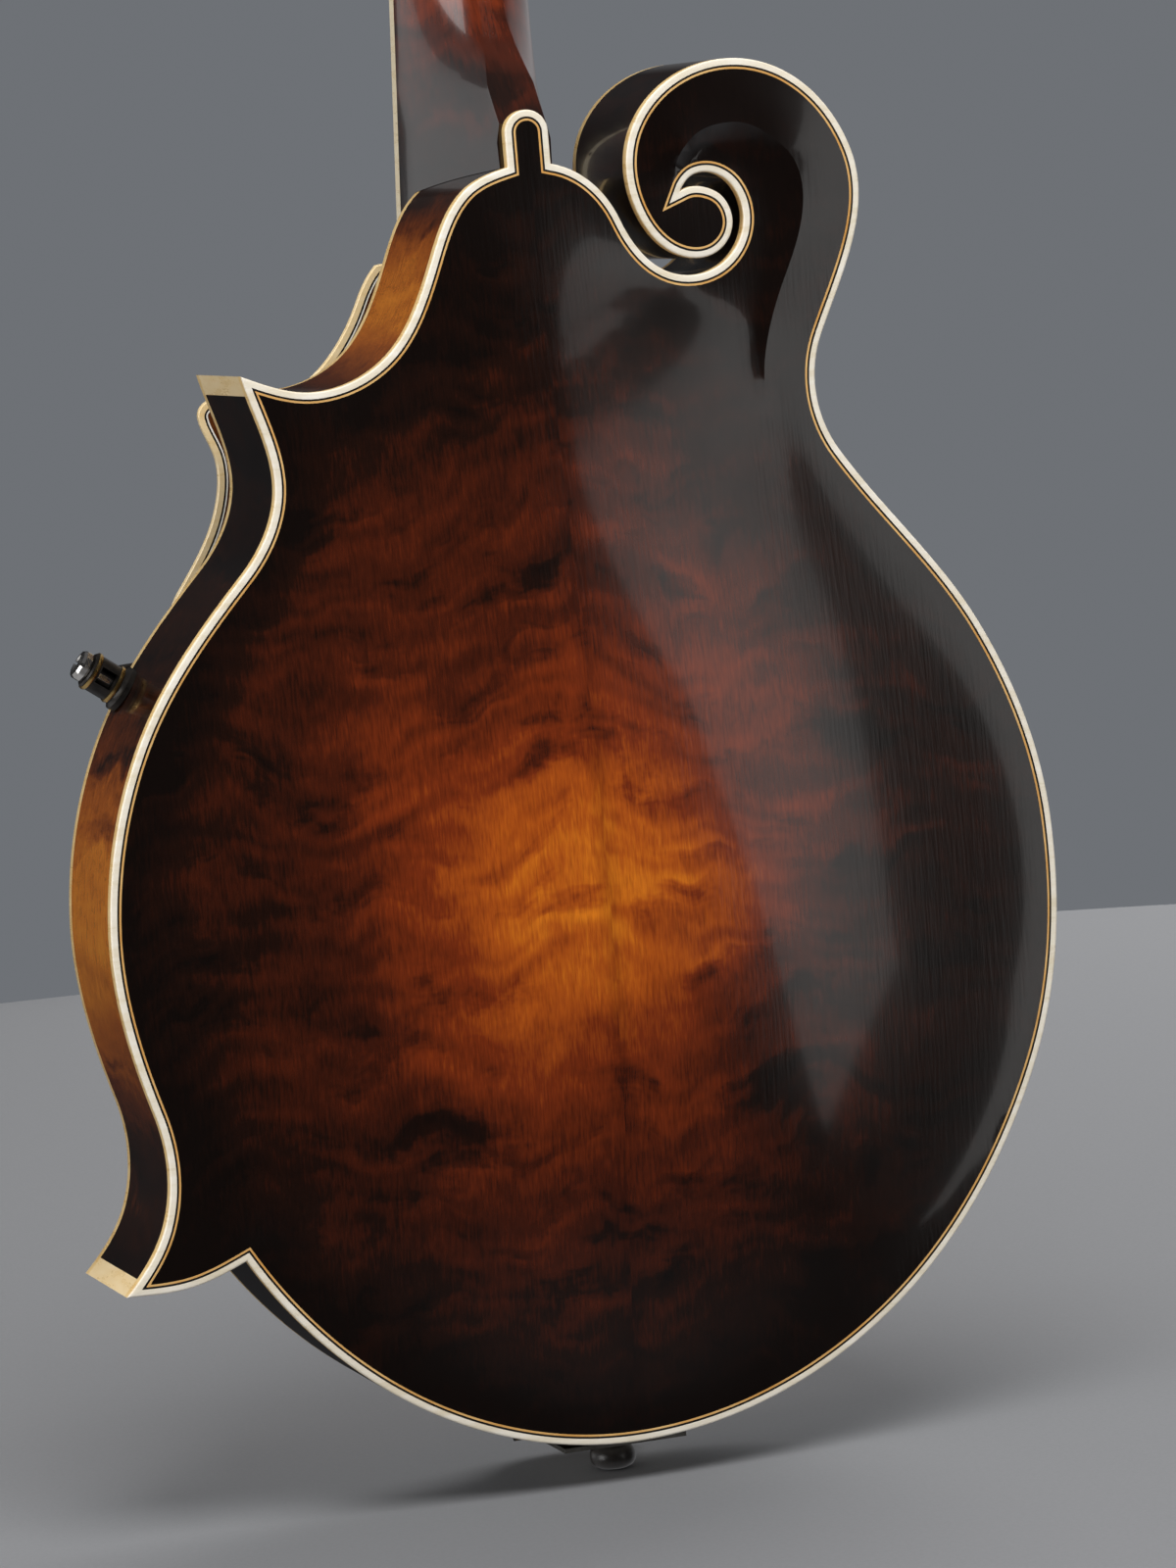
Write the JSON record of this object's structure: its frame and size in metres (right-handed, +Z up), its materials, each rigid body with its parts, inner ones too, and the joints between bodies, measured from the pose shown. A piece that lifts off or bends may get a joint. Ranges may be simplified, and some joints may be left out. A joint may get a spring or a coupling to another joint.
{
  "type": "f-style mandolin",
  "caption": "F-style mandolin with a carved sunburst body, scroll, two points, bound edges, geared tuners, adjustable bridge and a sliding tailpiece cover.",
  "frame": {"origin": "centre of the endpin's flat end, at the tail", "axes": "+Z up from the tail along the body's centre line towards the headstock, +Y out of the back, -Y out of the front, +X the treble side with the two points, -X the bass side with the scroll"},
  "size_m": [0.2567, 0.1229, 0.6941],
  "materials": {
    "maple_back": "dark sunburst stain under gloss varnish",
    "maple_side": "dark brown stain under gloss varnish",
    "neck_maple": "red-brown stain under gloss varnish",
    "spruce_top": "sunburst stain under gloss varnish",
    "bare_spruce": "bare planed wood",
    "ivoroid": "aged cream, polished",
    "ebony": "oiled",
    "bone": "polished bone",
    "steel": "drawn",
    "brass": "turned",
    "nickel": "aged nickel plate",
    "black_lacquer": "gloss lacquer",
    "black_plastic": "polished",
    "blackened_metal": "blackened",
    "tortoise": "polished"
  },
  "bodies": {
    "root": {"back_plate": "maple_back", "top_plate": "spruce_top", "back_binding": "ivoroid", "top_binding": "ivoroid", "heel_binding": "ivoroid", "rib_bass": "maple_side", "rib_treble_lower": "maple_side", "rib_treble_waist": "maple_side", "rib_treble_upper": "maple_side", "head_block": "maple_side", "tail_block": "bare_spruce", "lower_point_block": "maple_side", "upper_point_block": "maple_side", "lower_point_cap": "ivoroid", "upper_point_cap": "ivoroid", "tone_bar_bass": "bare_spruce", "tone_bar_treble": "bare_spruce", "neck": "neck_maple", "headstock_overlay": "black_lacquer", "truss_rod_cover": "black_plastic", "truss_rod": "steel", "fingerboard": "ebony", "nut": "bone", "tuner_plate_bass": "nickel", "tuner_plate_treble": "nickel", "bridge_base": "ebony", "tailpiece_base": "nickel", "endpin": "ebony", "pickguard": "tortoise", "pickguard_bracket": "blackened_metal", "string_1": "steel", "string_2": "steel", "string_3": "steel", "string_4": "steel", "string_5": "steel", "string_6": "steel", "string_7": "steel", "string_8": "steel"},
    "bridge_saddle": {"bridge_saddle": "ebony"},
    "clamp_screw": {"clamp_screw": "blackened_metal"},
    "tailpiece_cover": {"tailpiece_cover": "nickel"},
    "thumbwheel_bass": {"thumbwheel_bass": "nickel"},
    "thumbwheel_treble": {"thumbwheel_treble": "nickel"},
    "truss_rod_nut": {"truss_rod_nut": "brass"},
    "tuner_key_1": {"tuner_key_1": "nickel"},
    "tuner_key_2": {"tuner_key_2": "nickel"},
    "tuner_key_3": {"tuner_key_3": "nickel"},
    "tuner_key_4": {"tuner_key_4": "nickel"},
    "tuner_key_5": {"tuner_key_5": "nickel"},
    "tuner_key_6": {"tuner_key_6": "nickel"},
    "tuner_key_7": {"tuner_key_7": "nickel"},
    "tuner_key_8": {"tuner_key_8": "nickel"},
    "tuner_post_1": {"tuner_post_1": "nickel"},
    "tuner_post_2": {"tuner_post_2": "nickel"},
    "tuner_post_3": {"tuner_post_3": "nickel"},
    "tuner_post_4": {"tuner_post_4": "nickel"},
    "tuner_post_5": {"tuner_post_5": "nickel"},
    "tuner_post_6": {"tuner_post_6": "nickel"},
    "tuner_post_7": {"tuner_post_7": "nickel"},
    "tuner_post_8": {"tuner_post_8": "nickel"}
  },
  "joints": [
    {"name": "tuner_key_1_turn", "type": "hinge", "parent": "root", "child": "tuner_key_1", "pos_m": [-0.0205, 0.02148, 0.56332], "axis": [-1, 0, 0], "continuous": true},
    {"name": "tuner_key_2_turn", "type": "hinge", "parent": "root", "child": "tuner_key_2", "pos_m": [-0.0205, 0.03001, 0.58521], "axis": [-1, 0, 0], "continuous": true},
    {"name": "tuner_key_3_turn", "type": "hinge", "parent": "root", "child": "tuner_key_3", "pos_m": [-0.0205, 0.03855, 0.60711], "axis": [-1, 0, 0], "continuous": true},
    {"name": "tuner_key_4_turn", "type": "hinge", "parent": "root", "child": "tuner_key_4", "pos_m": [-0.0205, 0.04709, 0.629], "axis": [-1, 0, 0], "continuous": true},
    {"name": "tuner_key_5_turn", "type": "hinge", "parent": "root", "child": "tuner_key_5", "pos_m": [0.0205, 0.02148, 0.56332], "axis": [1, 0, 0], "continuous": true},
    {"name": "tuner_key_6_turn", "type": "hinge", "parent": "root", "child": "tuner_key_6", "pos_m": [0.0205, 0.03001, 0.58521], "axis": [1, 0, 0], "continuous": true},
    {"name": "tuner_key_7_turn", "type": "hinge", "parent": "root", "child": "tuner_key_7", "pos_m": [0.0205, 0.03855, 0.60711], "axis": [1, 0, 0], "continuous": true},
    {"name": "tuner_key_8_turn", "type": "hinge", "parent": "root", "child": "tuner_key_8", "pos_m": [0.0205, 0.04709, 0.629], "axis": [1, 0, 0], "continuous": true},
    {"name": "tuner_post_1_turn", "type": "hinge", "parent": "root", "child": "tuner_post_1", "pos_m": [-0.0205, 0.00659, 0.57717], "axis": [0, -0.9317, 0.3633], "continuous": true},
    {"name": "tuner_post_2_turn", "type": "hinge", "parent": "root", "child": "tuner_post_2", "pos_m": [-0.0205, 0.01513, 0.59906], "axis": [0, -0.9317, 0.3633], "continuous": true},
    {"name": "tuner_post_3_turn", "type": "hinge", "parent": "root", "child": "tuner_post_3", "pos_m": [-0.0205, 0.02366, 0.62096], "axis": [0, -0.9317, 0.3633], "continuous": true},
    {"name": "tuner_post_4_turn", "type": "hinge", "parent": "root", "child": "tuner_post_4", "pos_m": [-0.0205, 0.0322, 0.64285], "axis": [0, -0.9317, 0.3633], "continuous": true},
    {"name": "tuner_post_5_turn", "type": "hinge", "parent": "root", "child": "tuner_post_5", "pos_m": [0.0205, 0.00659, 0.57717], "axis": [0, -0.9317, 0.3633], "continuous": true},
    {"name": "tuner_post_6_turn", "type": "hinge", "parent": "root", "child": "tuner_post_6", "pos_m": [0.0205, 0.01513, 0.59906], "axis": [0, -0.9317, 0.3633], "continuous": true},
    {"name": "tuner_post_7_turn", "type": "hinge", "parent": "root", "child": "tuner_post_7", "pos_m": [0.0205, 0.02366, 0.62096], "axis": [0, -0.9317, 0.3633], "continuous": true},
    {"name": "tuner_post_8_turn", "type": "hinge", "parent": "root", "child": "tuner_post_8", "pos_m": [0.0205, 0.0322, 0.64285], "axis": [0, -0.9317, 0.3633], "continuous": true},
    {"name": "thumbwheel_bass_turn", "type": "hinge", "parent": "bridge_saddle", "child": "thumbwheel_bass", "pos_m": [-0.036, -0.0468, 0.18764], "axis": [0, -1, 0], "range_deg": [-770, 770]},
    {"name": "saddle_height", "type": "slide", "parent": "root", "child": "bridge_saddle", "axis": [0, -1, 0], "range_m": [-0.0015, 0.0015], "deforming": ["string_1", "string_2", "string_3", "string_4", "string_5", "string_6", "string_7", "string_8"]},
    {"name": "thumbwheel_treble_turn", "type": "hinge", "parent": "bridge_saddle", "child": "thumbwheel_treble", "pos_m": [0.036, -0.0468, 0.18764], "axis": [0, -1, 0], "range_deg": [-770, 770]},
    {"name": "tailpiece_cover_slide", "type": "slide", "parent": "root", "child": "tailpiece_cover", "axis": [0, -0.165, 0.9863], "range_m": [0, 0.012]},
    {"name": "clamp_screw_turn", "type": "hinge", "parent": "root", "child": "clamp_screw", "pos_m": [0.10722, -0.01565, 0.2135], "axis": [0.8082, 0, 0.5889], "continuous": true},
    {"name": "truss_rod_nut_turn", "type": "hinge", "parent": "root", "child": "truss_rod_nut", "pos_m": [0, -0.00091, 0.5507], "axis": [0, 0.1097, 0.994], "range_deg": [-360, 360]}
  ],
  "couplings": [
    {"joint": "tuner_post_1_turn", "follows": "tuner_key_1_turn", "ratio": 0.071429},
    {"joint": "tuner_post_2_turn", "follows": "tuner_key_2_turn", "ratio": 0.071429},
    {"joint": "tuner_post_3_turn", "follows": "tuner_key_3_turn", "ratio": 0.071429},
    {"joint": "tuner_post_4_turn", "follows": "tuner_key_4_turn", "ratio": 0.071429},
    {"joint": "tuner_post_5_turn", "follows": "tuner_key_5_turn", "ratio": 0.071429},
    {"joint": "tuner_post_6_turn", "follows": "tuner_key_6_turn", "ratio": 0.071429},
    {"joint": "tuner_post_7_turn", "follows": "tuner_key_7_turn", "ratio": 0.071429},
    {"joint": "tuner_post_8_turn", "follows": "tuner_key_8_turn", "ratio": 0.071429},
    {"joint": "saddle_height", "follows": "thumbwheel_bass_turn", "m_per_rad": 0.00011141},
    {"joint": "thumbwheel_treble_turn", "follows": "thumbwheel_bass_turn", "ratio": 1}
  ]
}
